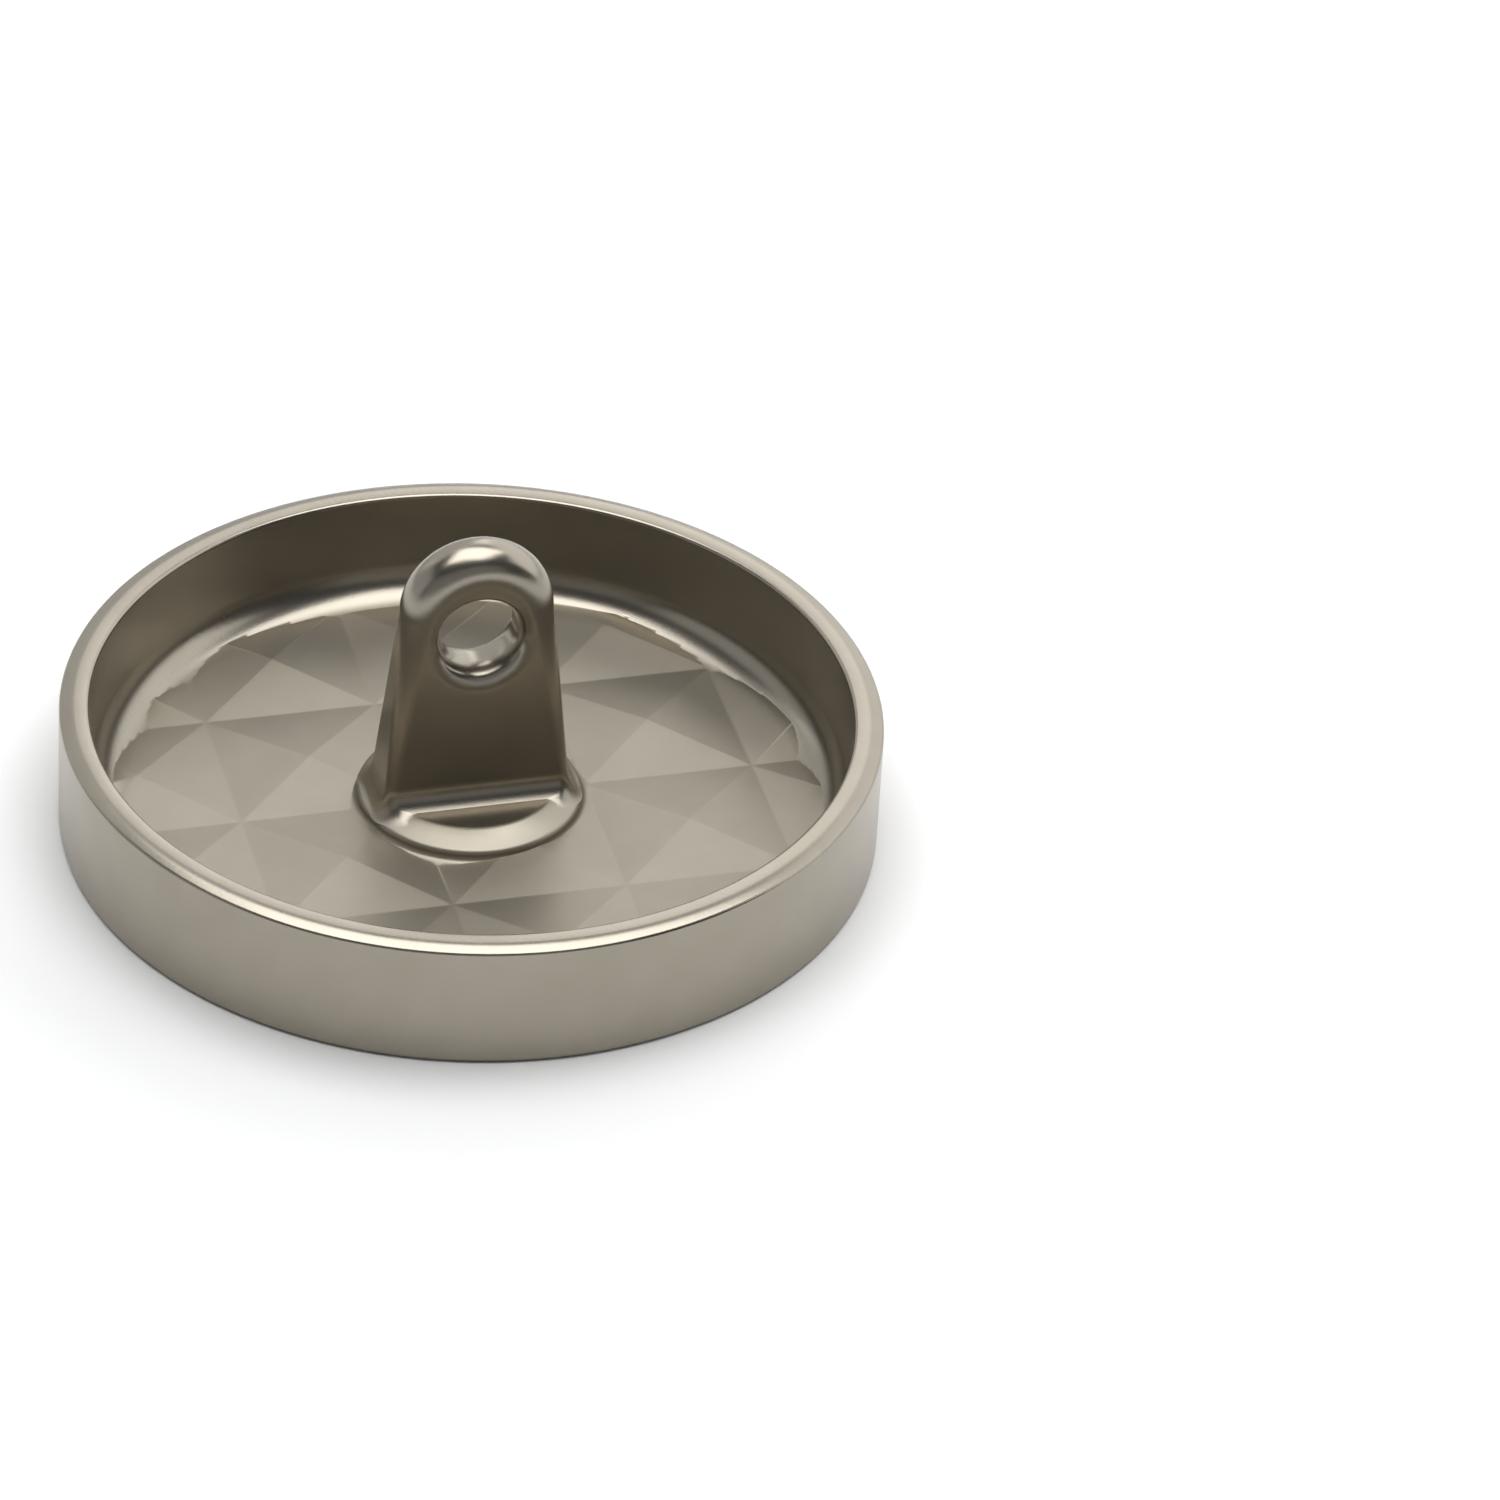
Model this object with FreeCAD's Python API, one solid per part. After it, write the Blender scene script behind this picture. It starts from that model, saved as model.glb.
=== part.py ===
import FreeCAD, Part
import math
import os
from FreeCAD import Vector

# A cast metal shank button, lying on its flat face. Millimetres, +Z up.
# The face is at z = 0 and looks down. The hollow back looks up, and the shank
# stands in the middle of it, with the blade's width along X and the eye along Y.

# Cup: the flat face and the rim wall around the hollow back
button_diameter = 25.0
rim_height = 4.1
rim_width = 0.9              # the wall's flat top, with its rounded edges
rim_outer_radius = 0.4
rim_inner_bevel = 0.1
face_bevel = 0.2             # between the face and the outer wall
wall_draft_deg = 4.0         # how far the wall's inside leans out of the upright
floor_fillet = 1.2           # between the wall and the floor

# Floor of the hollow: low pyramids, left between two crossing rows of V-grooves
floor_thickness = 0.95       # at the tips of the pyramids
facet_pitch = 5.35
facet_height = 0.24
facet_shift_x = -1.75        # a groove's place along X; along Y one runs through the axis

# Pad: the round foot that carries the blade
pad_margin = 0.55            # left outside the blade's foot on each side
pad_height = 0.45            # above the tips of the pyramids
pad_shoulder = 0.85          # width of the sloping ring outside the flat
pad_slope_deg = 20.5
pad_bevel = 0.15

# Blade: tapers upwards in width and in thickness, with a round end
shank_top = 10.05
blade_end_radius = 2.35
blade_end_thickness = 1.75
blade_end_edge = 0.82        # corner radius of the section at the round end
blade_side_draft_deg = 5.0
blade_face_draft_deg = 2.2
blade_foot_edge = 0.3        # corner radius of the section at the foot
foot_fillet = 0.3

# Eye: the thread hole, with a short land and a flare to each face
eye_height = 7.1
eye_radius = 1.2
eye_land = 0.4
flare_radius = 1.0
flare_turn_deg = 44.0        # how far the flare's round turns before it runs out straight

sink = 0.3                   # how deep one form reaches into the next, so that they fuse


def tan_deg(angle):
    return math.tan(math.radians(angle))


def arc_edge(centre, radius, start_deg, end_deg, up=Vector(0, 0, 1)):
    """A round from one angle to the other, turning from +X towards up."""
    points = []
    for angle in (start_deg, (start_deg + end_deg) / 2, end_deg):
        a = math.radians(angle)
        points.append(centre + Vector(radius * math.cos(a), 0, 0) + up * (radius * math.sin(a)))
    return Part.Arc(*points).toShape()


def quarter_edges(centre, radius, start_deg, up=Vector(0, 0, 1)):
    """A quarter round drawn as two arcs, because a surface that turns by no more than half
    a right angle meshes with far fewer facets."""
    middle = start_deg + 45
    return [arc_edge(centre, radius, start_deg, middle, up),
            arc_edge(centre, radius, middle, start_deg + 90, up)]


def joined(edges):
    """Closes a chain of edges, with a straight line wherever two do not meet."""
    chain = []
    for edge, following in zip(edges, edges[1:] + edges[:1]):
        chain.append(edge)
        end = edge.valueAt(edge.LastParameter)
        start = following.valueAt(following.FirstParameter)
        if end.distanceToPoint(start) > 1e-6:
            chain.append(Part.makeLine(end, start))
    return Part.Wire(chain)


def turned(edges):
    """Full turn of an XZ profile about the button's axis."""
    return Part.Face(joined(edges)).revolve(Vector(0, 0, 0), Vector(0, 0, 1), 360)


def floor_base():
    """Where the grooved floor and the pad start, sunk into the cup's flat plate."""
    return groove_bottom() - sink


def groove_bottom():
    return floor_thickness - facet_height


def corner_radius():
    """Radius at which the leaning wall would meet the floor, were there no fillet."""
    inner = button_diameter / 2 - rim_width
    return inner - (rim_height - groove_bottom()) * tan_deg(wall_draft_deg)


def pad_top():
    return floor_thickness + pad_height


def end_height():
    """Height of the axis that the blade's round end is turned about."""
    return shank_top - blade_end_radius


def blade_half_width(height):
    return blade_end_radius + (end_height() - height) * tan_deg(blade_side_draft_deg)


def pad_radius():
    return blade_half_width(pad_top()) + pad_margin


def make_cup():
    outer = button_diameter / 2
    inner = outer - rim_width
    base = floor_base()
    lean = tan_deg(wall_draft_deg)
    round_centre = Vector(outer - rim_outer_radius, 0, rim_height - rim_outer_radius)
    fillet_x = corner_radius() - floor_fillet * tan_deg(45 - wall_draft_deg / 2)
    fillet_centre = Vector(fillet_x, 0, groove_bottom() + floor_fillet)
    fillet = arc_edge(fillet_centre, floor_fillet, -wall_draft_deg, -45 - wall_draft_deg / 2)
    wall_foot = fillet.valueAt(fillet.FirstParameter)
    run_out = fillet.valueAt(fillet.LastParameter)
    return turned([
        Part.makeLine(Vector(0, 0, 0), Vector(outer - face_bevel, 0, 0)),
        Part.makeLine(Vector(outer, 0, face_bevel), Vector(outer, 0, round_centre.z)),
        *quarter_edges(round_centre, rim_outer_radius, 0),
        Part.makeLine(Vector(round_centre.x, 0, rim_height),
                      Vector(inner + rim_inner_bevel, 0, rim_height)),
        Part.makeLine(Vector(inner - rim_inner_bevel * lean, 0, rim_height - rim_inner_bevel),
                      wall_foot),
        fillet,
        Part.makeLine(run_out, Vector(fillet_x, 0, groove_bottom())),
        Part.makeLine(Vector(fillet_x, 0, base), Vector(0, 0, base)),
    ])


def groove_prism(length):
    """One V-groove, along X and centred on the axis, as the metal that it takes away."""
    half = facet_pitch / 2
    corners = [Vector(-length / 2, 0, groove_bottom()),
               Vector(-length / 2, half, floor_thickness),
               Vector(-length / 2, half, floor_thickness + sink),
               Vector(-length / 2, -half, floor_thickness + sink),
               Vector(-length / 2, -half, floor_thickness)]
    return Part.Face(Part.makePolygon(corners + corners[:1])).extrude(Vector(length, 0, 0))


def make_floor():
    """The floor's disc, grooved both ways so that low pyramids are left."""
    radius = corner_radius() + sink
    floor = Part.makeCylinder(radius, floor_thickness - floor_base() + sink,
                              Vector(0, 0, floor_base() - sink))
    reach = math.ceil(2 * radius / facet_pitch)
    grooves = []
    for step in range(-reach, reach + 1):
        along_x = groove_prism(4 * radius)
        along_x.translate(Vector(0, step * facet_pitch, 0))
        along_y = groove_prism(4 * radius)
        along_y.rotate(Vector(0, 0, 0), Vector(0, 0, 1), 90)
        along_y.translate(Vector(facet_shift_x + step * facet_pitch, 0, 0))
        grooves += [along_x, along_y]
    return floor.cut(grooves)


def make_pad():
    edge = pad_radius()
    flat = edge - pad_shoulder
    shoulder_top = pad_top() - (pad_shoulder - pad_bevel) * tan_deg(pad_slope_deg)
    base = floor_base()
    return turned([
        Part.makeLine(Vector(0, 0, base), Vector(edge, 0, base)),
        Part.makeLine(Vector(edge, 0, base), Vector(edge, 0, shoulder_top - pad_bevel)),
        Part.makeLine(Vector(edge - pad_bevel, 0, shoulder_top), Vector(flat, 0, pad_top())),
        Part.makeLine(Vector(flat, 0, pad_top()), Vector(0, 0, pad_top())),
    ])


def blade_section(height):
    """Rounded rectangle across the blade: its size and corners change with the height."""
    drop = end_height() - height
    half_width = blade_half_width(height)
    half_depth = blade_end_thickness / 2 + drop * tan_deg(blade_face_draft_deg)
    share = drop / (end_height() - pad_top())
    corner = blade_end_edge + (blade_foot_edge - blade_end_edge) * share
    edges = []
    for quarter, (sx, sy) in enumerate([(1, 1), (-1, 1), (-1, -1), (1, -1)]):
        centre = Vector(sx * (half_width - corner), sy * (half_depth - corner), height)
        edges += quarter_edges(centre, corner, 90 * quarter, Vector(0, 1, 0))
    return joined(edges)


def make_blade():
    top = end_height()
    shaft = Part.makeLoft([blade_section(pad_top() - sink), blade_section(top)], True, True)
    side = Part.makeBox(blade_end_radius + sink, 4 * blade_end_thickness, 2 * sink,
                        Vector(0, -2 * blade_end_thickness, top - sink))
    half = Part.Face(blade_section(top)).common(side)
    end = half.revolve(Vector(0, 0, top), Vector(0, 1, 0), -180)
    return shaft.fuse(end)


def make_eye():
    """The thread hole as a turned cutter along Y: a land, a round flare, a straight run-out."""
    turn = math.radians(flare_turn_deg)
    half_land = eye_land / 2
    round_x = eye_radius + flare_radius * (1 - math.cos(turn))
    round_z = half_land + flare_radius * math.sin(turn)
    run_x = blade_end_radius
    run_z = round_z + (run_x - round_x) / math.tan(turn)
    centre = Vector(eye_radius + flare_radius, 0, half_land)
    low_centre = Vector(eye_radius + flare_radius, 0, -half_land)
    cutter = turned([
        Part.makeLine(Vector(0, 0, -run_z), Vector(run_x, 0, -run_z)),
        arc_edge(low_centre, flare_radius, 180 + flare_turn_deg, 180),
        arc_edge(centre, flare_radius, 180, 180 - flare_turn_deg),
        Part.makeLine(Vector(run_x, 0, run_z), Vector(0, 0, run_z)),
    ])
    cutter.rotate(Vector(0, 0, 0), Vector(1, 0, 0), 90)
    cutter.translate(Vector(0, 0, eye_height))
    return cutter


def foot_edges(shape):
    """The edges where the blade meets the pad's top."""
    found = []
    for edge in shape.Edges:
        box = edge.BoundBox
        on_pad = box.ZMin > pad_top() - pad_height / 2 and box.ZMax < pad_top() + 0.01
        blade_side = all(abs(v.X) < pad_radius() - foot_fillet and abs(v.Y) < blade_end_thickness
                         for v in edge.Vertexes)
        if on_pad and blade_side and len(edge.Vertexes) == 2:
            found.append(edge)
    return found


def make_shank():
    shank = make_pad().fuse(make_blade())
    shank = shank.makeFillet(foot_fillet, foot_edges(shank))
    return shank.cut(make_eye())


def make_button():
    return make_cup().fuse([make_floor(), make_shank()])


os.makedirs("parts", exist_ok=True)
button = make_button()
button.exportStep("parts/shank_button.step")
print("shank_button:", len(button.Solids), "solid, valid", button.isValid(),
      "volume", round(button.Volume, 2))
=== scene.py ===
import math
import bpy
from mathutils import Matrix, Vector


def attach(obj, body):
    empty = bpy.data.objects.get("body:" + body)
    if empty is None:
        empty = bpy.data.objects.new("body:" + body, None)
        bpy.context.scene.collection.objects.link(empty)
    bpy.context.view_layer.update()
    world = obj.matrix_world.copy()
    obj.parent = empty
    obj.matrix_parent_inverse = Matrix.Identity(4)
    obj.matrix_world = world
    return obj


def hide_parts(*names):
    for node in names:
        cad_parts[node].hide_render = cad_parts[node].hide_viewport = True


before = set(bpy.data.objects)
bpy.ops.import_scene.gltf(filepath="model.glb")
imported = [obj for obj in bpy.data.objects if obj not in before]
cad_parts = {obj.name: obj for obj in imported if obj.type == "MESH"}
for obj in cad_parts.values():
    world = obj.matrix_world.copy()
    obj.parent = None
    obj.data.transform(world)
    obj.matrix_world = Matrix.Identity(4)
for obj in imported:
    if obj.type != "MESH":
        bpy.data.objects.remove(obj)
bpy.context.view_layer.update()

# Metal shank button, lying on its flat face with the hollow back and the shank up.
# The real one is a single casting. Its forms are modelled one by one, with finer rounds than the
# CAD node has, and joined into one mesh. In the dictionaries, sizes are in millimetres and angles
# in degrees. A round that has two values gives its radius and its number of parts.

mm = 0.001
mergeWithin = 0.0005           # closer vertices of a turned piece become one
near = 0.001                   # a vertex this close to a place is picked as being there
smoothUpTo = 35                # an edge that turns by more stays crisp


def linear(hexColour):
    # sRGB hex to the linear colour that a shader wants
    channels = [int(hexColour[i:i + 2], 16) / 255 for i in (1, 3, 5)]
    return [c / 12.92 if c <= 0.04045 else ((c + 0.055) / 1.055) ** 2.4 for c in channels] + [1.0]


def addNode(tree, kind, settings=None, links=None):
    # adds a node with its settings and its links; a socket goes by its name or its number
    node = tree.nodes.new(kind)
    for name, value in (settings or {}).items():
        if isinstance(name, str) and hasattr(node, name):
            setattr(node, name, value)
        else:
            node.inputs[name].default_value = value
    for name, output in (links or {}).items():
        tree.links.new(output, node.inputs[name])
    return node


def tan(degrees):
    return math.tan(math.radians(degrees))


def clearSelection():
    if bpy.context.mode != "OBJECT":
        bpy.ops.object.mode_set(mode="OBJECT")
    bpy.ops.object.select_all(action="DESELECT")


def applyModifier(piece, kind, **settings):
    clearSelection()
    piece.select_set(True)
    bpy.context.view_layer.objects.active = piece
    modifier = piece.modifiers.new(kind.lower(), kind)
    for name, value in settings.items():
        setattr(modifier, name, value)
    bpy.ops.object.modifier_apply(modifier=modifier.name)


def combine(piece, operation, other):
    # a boolean with another piece, which is used up by it
    applyModifier(piece, "BOOLEAN", operation=operation, solver="EXACT", object=other)
    bpy.data.objects.remove(other)


def selectVertices(piece, wanted):
    # in edit mode, by place
    bpy.ops.mesh.select_all(action="DESELECT")
    bpy.ops.object.mode_set(mode="OBJECT")
    for vertex in piece.data.vertices:
        vertex.select = wanted(vertex.co / mm)
    bpy.ops.object.mode_set(mode="EDIT")


def startPiece(name, point):
    # a plane merged to one vertex and moved to where the profile starts
    clearSelection()
    bpy.ops.mesh.primitive_plane_add(size=mm, location=(0, 0, 0))
    piece = bpy.context.object
    piece.name = name
    bpy.ops.object.mode_set(mode="EDIT")
    bpy.ops.mesh.merge(type="CENTER")
    bpy.ops.transform.translate(value=point)
    return piece


def roundedLine(corners):
    # sharp corners are (across, up); with (radius, parts) behind, one becomes an arc that is
    # tangent to both runs
    points = []
    for index, (x, y, *rounding) in enumerate(corners):
        if not rounding:
            points.append((x, y))
            continue
        radius, parts = rounding
        here = Vector((x, y))
        before = (Vector(corners[index - 1][:2]) - here).normalized()
        after = (Vector(corners[index + 1][:2]) - here).normalized()
        half = before.angle(after) / 2
        centre = here + (before + after).normalized() * (radius / math.sin(half))
        start = here + before * (radius / math.tan(half)) - centre
        turn = 1 if before.x * after.y - before.y * after.x < 0 else -1
        for step in range(parts + 1):
            a = turn * (math.pi - 2 * half) * step / parts
            points.append((centre.x + start.x * math.cos(a) - start.y * math.sin(a),
                           centre.y + start.x * math.sin(a) + start.y * math.cos(a)))
    return points


def turnedPiece(name, corners, steps, axis=(0, 0, 1), centre=(0, 0, 0)):
    # a profile from the axis out and back to it, spun into a closed body; up is along the axis
    places = [Vector((x, 0, y)) * mm if axis[2] else Vector((x, y, centre[2])) * mm
              for x, y in roundedLine(corners)]
    piece = startPiece(name, places[0])
    for place, following in zip(places, places[1:]):
        bpy.ops.mesh.extrude_vertices_move(TRANSFORM_OT_translate={"value": following - place})
    bpy.ops.mesh.select_all(action="SELECT")
    bpy.ops.mesh.spin(steps=steps, angle=2 * math.pi, center=Vector(centre) * mm, axis=axis)
    bpy.ops.mesh.select_all(action="SELECT")
    bpy.ops.mesh.remove_doubles(threshold=mergeWithin * mm)
    bpy.ops.mesh.normals_make_consistent(inside=False)
    bpy.ops.object.mode_set(mode="OBJECT")
    return piece


# The flat face, the rim and the hollow's leaning wall
cup = {
    "diameter": 25.0,
    "faceRound": (0.2, 6),     # between the face and the outer wall
    "rimHeight": 4.1,
    "rimWidth": 0.9,
    "rimCrown": 0.35,          # how far in from the outer wall the rim's top starts to fall
    "rimDrop": 0.12,           # and how far it falls to the wall
    "rimCrownRound": (0.8, 8),
    "rimOuterRound": (0.12, 8),
    "rimInnerRound": (0.12, 6),
    "wallLean": 4.0,
    "wallFillet": (1.2, 14),
    "splits": (0.5, 0.5, 0.6),  # shares at which the face, outer wall and floor get an edge ring
    "steps": 256,
}


def makeCup(v, valley):
    outer = v["diameter"] / 2
    inner = outer - v["rimWidth"]
    foot = inner - (v["rimHeight"] - valley) * tan(v["wallLean"])    # were there no fillet
    faceSplit, wallSplit, floorSplit = v["splits"]
    piece = turnedPiece("button", [
        (0, 0), (outer * faceSplit, 0),
        (outer, 0, *v["faceRound"]), (outer, v["rimHeight"] * wallSplit),
        (outer, v["rimHeight"] - v["rimDrop"], *v["rimOuterRound"]),
        (outer - v["rimCrown"], v["rimHeight"], *v["rimCrownRound"]),
        (inner, v["rimHeight"], *v["rimInnerRound"]),
        (foot, valley, *v["wallFillet"]),
        (foot * floorSplit, valley), (0, valley)], v["steps"])
    print("cup turned")
    return piece


# Floor of the hollow: low pyramids with slightly soft edges
facets = {
    "tips": 0.95,              # height of the pyramids' tips
    "height": 0.24,            # of a pyramid above the valleys
    "pitch": 5.35,
    "shift": -1.75,            # of one valley along X; along Y one runs through the axis
    "count": 6,                # pyramids each way
    "softness": 0.05,
    "sink": 0.4,               # how deep they reach into the plate
    "radius": 11.5,            # they are cut to a disc that ends inside the wall
    "steps": 256,
    "cutHeight": 6.0,
}


def makeFacets(v, valley):
    clearSelection()
    bpy.ops.mesh.primitive_grid_add(x_subdivisions=v["count"], y_subdivisions=v["count"],
                                    size=v["count"] * v["pitch"] * mm,
                                    location=Vector((v["shift"], 0, valley)) * mm)
    piece = bpy.context.object
    piece.name = "facets"
    bpy.ops.object.transform_apply(location=True)
    bpy.ops.object.mode_set(mode="EDIT")
    bpy.ops.mesh.select_all(action="SELECT")
    bpy.ops.mesh.poke(offset=v["height"] * mm)
    bpy.ops.mesh.select_all(action="SELECT")
    bpy.ops.mesh.bevel(offset=v["softness"] * mm, segments=2, affect="EDGES")
    bpy.ops.mesh.select_all(action="SELECT")
    bpy.ops.mesh.extrude_region_move(TRANSFORM_OT_translate={"value": (0, 0, -v["sink"] * mm)})
    bpy.ops.mesh.select_all(action="SELECT")
    bpy.ops.mesh.normals_make_consistent(inside=False)
    bpy.ops.object.mode_set(mode="OBJECT")
    clearSelection()
    bpy.ops.mesh.primitive_cylinder_add(vertices=v["steps"], radius=v["radius"] * mm,
                                        depth=v["cutHeight"] * mm)
    combine(piece, "INTERSECT", bpy.context.object)
    print("floor faceted")
    return piece


# Round pad that carries the blade
pad = {
    "top": 1.4,
    "margin": 0.55,            # left outside the blade's foot on each side
    "shoulder": 0.85,          # width of the sloping ring
    "shoulderRound": (0.5, 4),
    "slope": 20.5,
    "edgeRound": (0.2, 6),
    "footFillet": (0.2, 6),
    "skirtSink": 0.02,         # how far the fillet's thin edge dips under the valleys
    "base": 0.5,               # height of its underside, inside the plate
    "steps": 128,
}


def padRadius():
    # the blade's foot and a margin around it
    return bladeHalfWidth(blade, pad["top"]) + pad["margin"]


def makePad(v, valley):
    edge = padRadius()
    flat = edge - v["shoulder"]
    reach = edge + 2 * v["footFillet"][0]
    floorLevel = valley + facets["height"] / 2
    piece = turnedPiece("pad", [
        (0, v["base"]), (reach, v["base"]), (reach, valley - v["skirtSink"]),
        (edge, floorLevel, *v["footFillet"]),
        (edge, v["top"] - v["shoulder"] * tan(v["slope"]), *v["edgeRound"]),
        (flat, v["top"], *v["shoulderRound"]), (0, v["top"])], v["steps"])
    print("pad turned")
    return piece


# Blade of the shank: tapers upwards, round at its end
blade = {
    "top": 10.05,
    "endRadius": 2.35,
    "endThickness": 1.75,
    "endCorner": 0.82,
    "footCorner": 0.3,
    "sideDraft": 5.0,
    "faceDraft": 2.2,
    "footFillet": (0.7, 7),
    "footSpread": 0.6,         # share of the fillet at the blade's narrow sides
    "sink": 0.45,              # how deep it reaches into the pad
    "cornerParts": 8,
    "endSteps": 48,
    "mergeWithin": 0.002,
}


def bladeHalfWidth(v, height):
    return v["endRadius"] + (v["top"] - v["endRadius"] - height) * tan(v["sideDraft"])


def addRing(halfWidth, halfDepth, corner, height, parts):
    # a level rounded rectangle of edges
    centre = (0, 0, height * mm)
    bpy.ops.mesh.select_all(action="DESELECT")
    bpy.ops.mesh.primitive_plane_add(size=2 * mm, location=centre)
    bpy.ops.transform.resize(value=(halfWidth, halfDepth, 1), center_override=centre)
    bpy.ops.mesh.bevel(affect="VERTICES", offset=corner * mm, segments=parts)
    bpy.ops.mesh.delete(type="ONLY_FACE")


def makeBlade(v, foot):
    endHeight = v["top"] - v["endRadius"]
    fillet, filletParts = v["footFillet"]

    def ring(height, out=0.0):
        # the straight part's section at a height, widened by out where the foot spreads
        drop = endHeight - height
        grown = (v["footCorner"] - v["endCorner"]) * drop / (endHeight - foot)
        return (bladeHalfWidth(v, height) + out * v["footSpread"],
                v["endThickness"] / 2 + drop * tan(v["faceDraft"]) + out,
                v["endCorner"] + grown + out, height, v["cornerParts"])

    rings = [ring(endHeight), ring((endHeight + foot) / 2), ring(foot + fillet)]
    for step in range(1, filletParts + 1):
        a = math.radians(90 * step / filletParts)
        rings.append(ring(foot + fillet * (1 - math.sin(a)), fillet * (1 - math.cos(a))))
    bottom = foot - v["sink"]
    rings.append(rings[-1][:3] + (bottom, v["cornerParts"]))
    piece = startPiece("blade", (0, 0, 0))
    bpy.ops.mesh.delete(type="VERT")
    for values in rings:
        addRing(*values)
    bpy.ops.mesh.select_all(action="SELECT")
    bpy.ops.mesh.bridge_edge_loops()
    selectVertices(piece, lambda p: p.z < bottom + near)
    bpy.ops.mesh.edge_face_add()
    # the round end is the top ring's right half, turned over the top
    selectVertices(piece, lambda p: p.z > endHeight - near)
    bpy.ops.mesh.bisect(plane_co=(0, 0, 0), plane_no=(1, 0, 0))
    selectVertices(piece, lambda p: p.z > endHeight - near and p.x > -near)
    bpy.ops.mesh.spin(steps=v["endSteps"], angle=math.pi, axis=(0, 1, 0),
                      center=(0, 0, endHeight * mm))
    bpy.ops.mesh.select_all(action="SELECT")
    bpy.ops.mesh.remove_doubles(threshold=v["mergeWithin"] * mm)
    bpy.ops.mesh.normals_make_consistent(inside=False)
    bpy.ops.object.mode_set(mode="OBJECT")
    # the foot follows the pad's sloping shoulder, the more the lower down
    flat = (padRadius() - pad["shoulder"]) * mm
    for vertex in piece.data.vertices:
        share = min(1.0, (foot + fillet - vertex.co.z / mm) / fillet)
        beyond = vertex.co.xy.length - flat
        if share > 0 and beyond > 0:
            vertex.co.z -= share * beyond * tan(pad["slope"])
    print("blade modelled")
    return piece


# Eye: the thread hole, a short land that flares to each face of the blade
eye = {
    "height": 7.1,
    "radius": 1.2,
    "land": 0.4,
    "flare": 1.0,              # radius of the round out of the land
    "flareTurn": 30,
    "lip": 0.3,                # radius of the tighter round near the face
    "lipTurn": 72,             # turned so far in all, the cutter runs out straight
    "runOut": 1.2,             # across, past the blade's face
    "parts": 6,                # of each round
    "steps": 96,
}


def makeEyeCutter(v):
    # one side of its outline, from the middle of the land out past the face, then mirrored
    x, y = v["radius"], v["land"] / 2
    side = [(x, y)]
    for radius, start, end in ((v["flare"], 0, v["flareTurn"]),
                               (v["lip"], v["flareTurn"], v["lipTurn"])):
        for step in range(v["parts"]):
            a, b = (math.radians(start + (end - start) * s / v["parts"]) for s in (step, step + 1))
            x += radius * (math.cos(a) - math.cos(b))
            y += radius * (math.sin(b) - math.sin(a))
            side.append((x, y))
    side.append((x + v["runOut"], y + v["runOut"] / tan(v["lipTurn"])))
    side.append((0, side[-1][1]))
    return turnedPiece("eyeCutter", [(x, -y) for x, y in reversed(side)] + side, v["steps"],
                       axis=(0, 1, 0), centre=(0, 0, v["height"]))


def makeButton():
    valley = facets["tips"] - facets["height"]
    button = makeCup(cup, valley)
    shank = makePad(pad, valley)
    grooved = makeFacets(facets, valley)
    upright = makeBlade(blade, pad["top"])
    combine(upright, "DIFFERENCE", makeEyeCutter(eye))
    print("eye cut")
    combine(shank, "UNION", upright)
    combine(button, "UNION", grooved)
    combine(button, "UNION", shank)
    clearSelection()
    button.select_set(True)
    bpy.context.view_layer.objects.active = button
    bpy.ops.object.shade_smooth_by_angle(angle=math.radians(smoothUpTo))
    applyModifier(button, "WEIGHTED_NORMAL", mode="FACE_AREA", weight=50, keep_sharp=True)
    print("button joined,", len(button.data.polygons), "faces")
    return button


# Satin nickel
nickel = {
    "colour": "#a8a297",
    "darkColour": "#a09a8e",
    "floorRoughness": 0.47,    # the hollow's floor stays matter, where tumbling hardly reaches
    "roughness": 0.27,         # rim, walls, shank and the round at the wall's foot
    "polishLevels": (1.0, 1.6),     # heights between which the floor's finish turns to the other
    "polishRadii": (10.2, 11.0),    # and distances from the axis
    "grainSize": 0.12,         # grain of the plating, drawn coarser than real to show
    "grainDepth": 0.002,
    "rippleSize": 1.3,         # soft unevenness of the cast surface
    "rippleDepth": 0.0012,
    "detail": 2.0,
}


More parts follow.
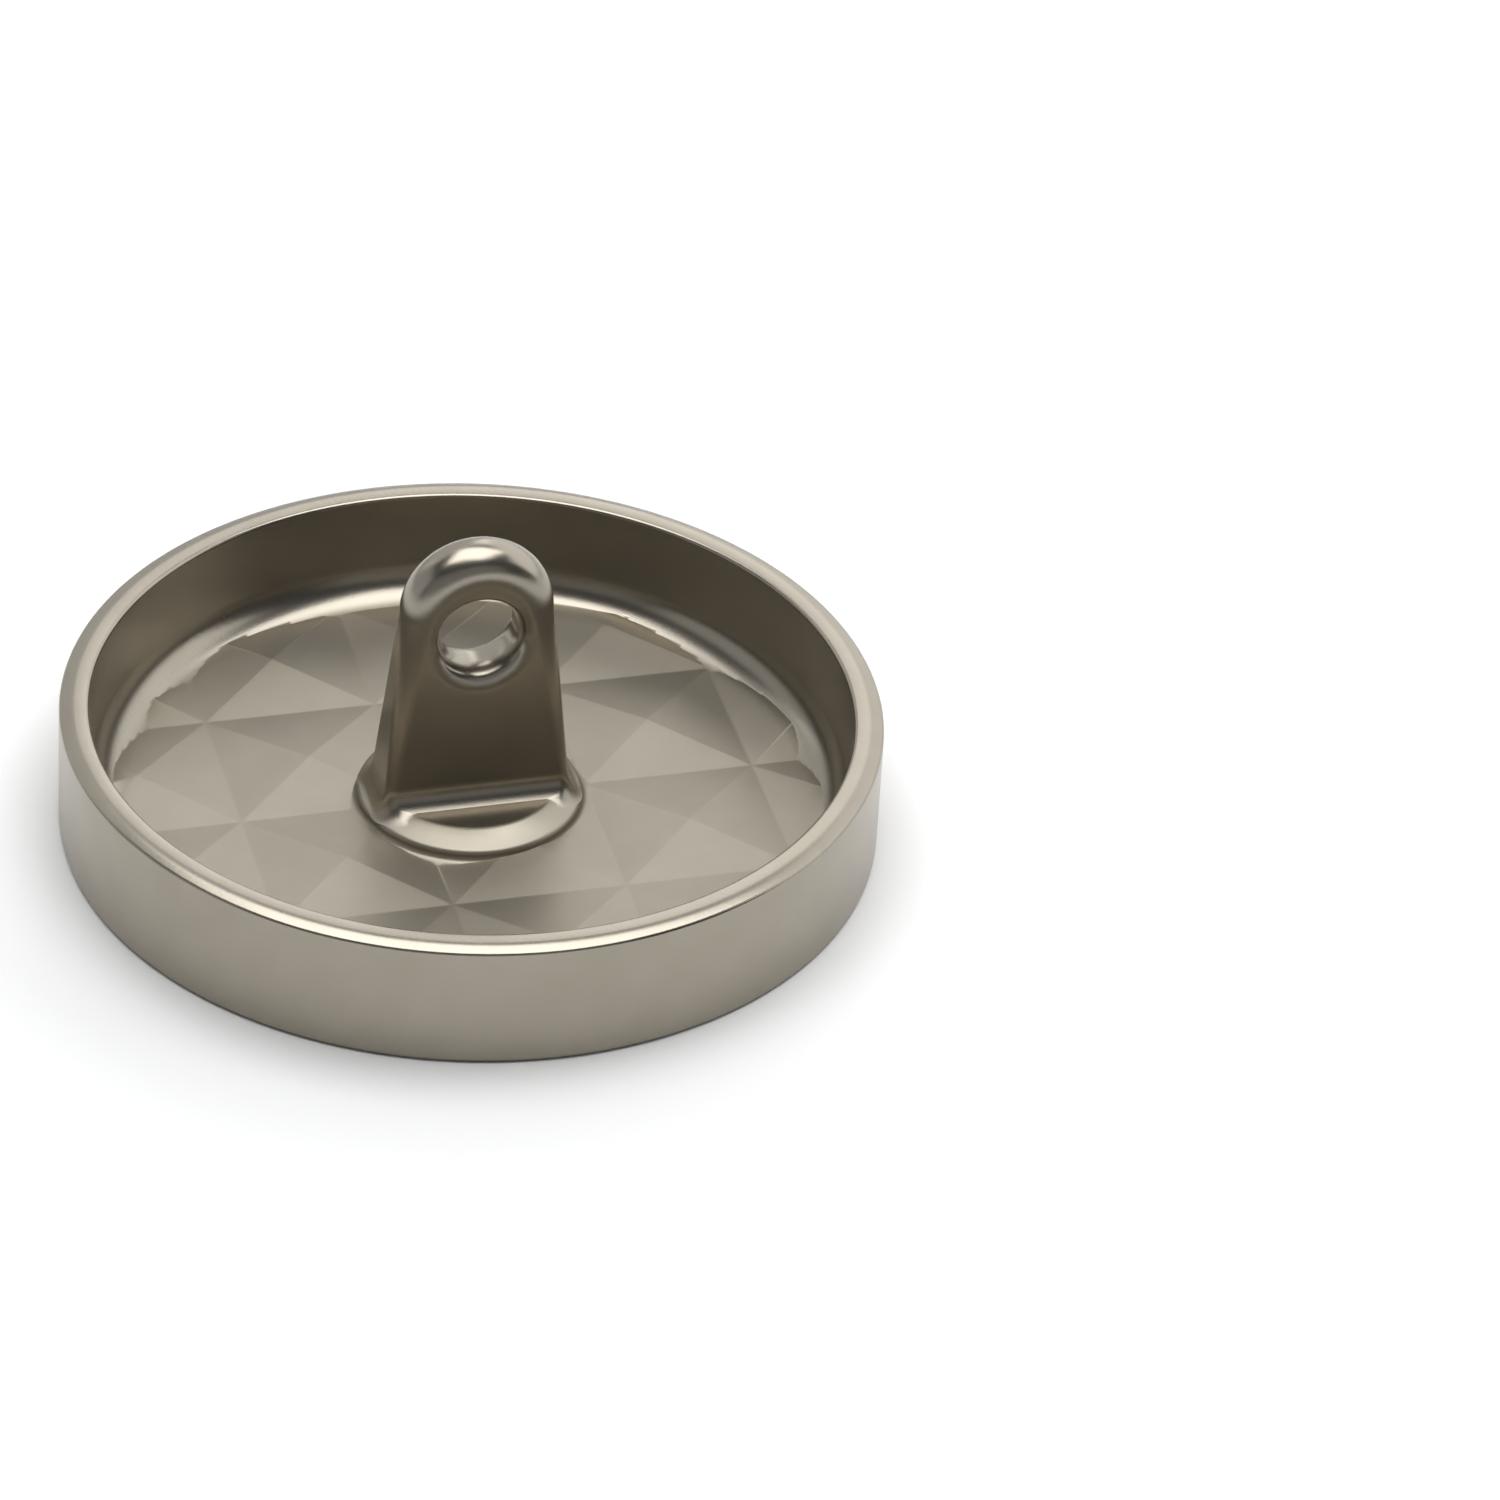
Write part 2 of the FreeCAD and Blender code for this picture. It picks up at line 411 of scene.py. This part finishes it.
def satinNickel(v):
    # zinc casting, tumbled and plated with satin nickel: a warm grey metal with a soft and
    # slightly grainy sheen
    material = bpy.data.materials.new("satinNickel")
    material.use_nodes = True
    tree = material.node_tree
    tree.nodes.clear()
    place = addNode(tree, "ShaderNodeTexCoord").outputs["Object"]
    grain, ripple = [
        addNode(tree, "ShaderNodeTexNoise", {"Scale": 1 / (size * mm), "Detail": v["detail"]},
                {"Vector": place})
        for size in (v["grainSize"], v["rippleSize"])]
    colour = addNode(tree, "ShaderNodeMix",
                     {"data_type": "RGBA", 6: linear(v["colour"]), 7: linear(v["darkColour"])},
                     {0: ripple.outputs["Fac"]})
    level = addNode(tree, "ShaderNodeSeparateXYZ", {}, {0: place})
    flat = addNode(tree, "ShaderNodeVectorMath", {"operation": "MULTIPLY", 1: (1, 1, 0)},
                   {0: place})
    across = addNode(tree, "ShaderNodeVectorMath", {"operation": "LENGTH"},
                     {0: flat.outputs["Vector"]})
    raised, outside = [
        addNode(tree, "ShaderNodeMapRange",
                {"interpolation_type": "SMOOTHSTEP", "From Min": limits[0] * mm,
                 "From Max": limits[1] * mm}, {"Value": measure})
        for limits, measure in ((v["polishLevels"], level.outputs["Z"]),
                                (v["polishRadii"], across.outputs["Value"]))]
    polish = addNode(tree, "ShaderNodeMath", {"operation": "MAXIMUM"},
                     {0: raised.outputs["Result"], 1: outside.outputs["Result"]})
    rough = addNode(tree, "ShaderNodeMapRange",
                    {"To Min": v["floorRoughness"], "To Max": v["roughness"]},
                    {"Value": polish.outputs["Value"]})
    rippleBump = addNode(tree, "ShaderNodeBump", {"Distance": v["rippleDepth"] * mm},
                         {"Height": ripple.outputs["Fac"]})
    grainBump = addNode(tree, "ShaderNodeBump", {"Distance": v["grainDepth"] * mm},
                        {"Height": grain.outputs["Fac"], "Normal": rippleBump.outputs["Normal"]})
    shader = addNode(tree, "ShaderNodeBsdfPrincipled", {"Metallic": 1.0},
                     {"Base Color": colour.outputs[2], "Roughness": rough.outputs["Result"],
                      "Normal": grainBump.outputs["Normal"]})
    addNode(tree, "ShaderNodeOutputMaterial", {}, {"Surface": shader.outputs["BSDF"]})
    return material


# Camera, where the photograph was taken from
camera = {
    "place": (-50.09, -192.79, 142.57),
    "turn": (54.925, -2.967, -14.92),
    "lens": 192.0,
    "sensor": 36.0,
    "clipStart": 5.0,
}


def addCamera(v):
    data = bpy.data.cameras.new("camera")
    data.lens = v["lens"]
    data.sensor_width = v["sensor"]
    data.clip_start = v["clipStart"] * mm
    viewpoint = bpy.data.objects.new("camera", data)
    viewpoint.location = Vector(v["place"]) * mm
    viewpoint.rotation_euler = [math.radians(a) for a in v["turn"]]
    bpy.context.collection.objects.link(viewpoint)
    bpy.context.scene.camera = viewpoint
    print("camera set")


# Studio: white paper, soft panels and a dim room, in metres
studio = {
    "paperSize": 6.0,
    "paperColour": "#f4f4f4",
    "paperRoughness": 0.8,
    "roomColour": "#d9dde2",
    "roomStrength": 0.12,
    "behind": 73,              # direction of straight behind the button, seen from the camera
    "panels": [
        # name, turn from straight behind towards the right, angle above the paper, distance,
        # width, height and brightness
        ("overhead", 12, 86, 0.55, 0.60, 0.54, 2.6),
        ("backdrop", -28, 27, 1.20, 1.35, 1.05, 0.62),
        ("window", 46, 27, 1.20, 2.40, 1.05, 1.08),
        ("side", -90, 19, 1.20, 1.60, 0.80, 0.42),
        ("fill", 180, 19, 1.20, 2.40, 0.80, 0.22),
    ],
}


def addPanel(behind, name, turn, rise, distance, width, height, brightness):
    # a soft light that faces the button
    along = math.radians(behind - turn)
    up = math.radians(rise)
    data = bpy.data.lights.new(name, "AREA")
    data.shape = "RECTANGLE"
    data.size = width
    data.size_y = height
    data.energy = brightness * math.pi * width * height    # a larger panel is as bright
    panel = bpy.data.objects.new(name, data)
    panel.location = (distance * math.cos(up) * math.cos(along),
                      distance * math.cos(up) * math.sin(along), distance * math.sin(up))
    panel.rotation_euler = panel.location.to_track_quat("Z", "Y").to_euler()
    bpy.context.collection.objects.link(panel)


def addStudio(v):
    clearSelection()
    bpy.ops.mesh.primitive_plane_add(size=v["paperSize"])
    sheet = bpy.context.object
    sheet.name = "paper"
    # matt white paper
    paper = bpy.data.materials.new("whitePaper")
    paper.use_nodes = True
    shader = paper.node_tree.nodes["Principled BSDF"]
    shader.inputs["Base Color"].default_value = linear(v["paperColour"])
    shader.inputs["Roughness"].default_value = v["paperRoughness"]
    sheet.data.materials.append(paper)
    for panel in v["panels"]:
        addPanel(v["behind"], *panel)
    room = bpy.data.worlds.new("room")
    room.use_nodes = True
    background = room.node_tree.nodes["Background"]
    background.inputs["Color"].default_value = linear(v["roomColour"])
    background.inputs["Strength"].default_value = v["roomStrength"]
    bpy.context.scene.world = room
    # clean white paper and deep darks in the metal, as in a product photo
    view = bpy.context.scene.view_settings
    view.view_transform = "Standard"
    view.look = "Medium High Contrast"
    print("studio set")


addCamera(camera)
button = makeButton()
button.data.materials.clear()
button.data.materials.append(satinNickel(nickel))
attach(button, "root")
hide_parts("shank_button")
addStudio(studio)
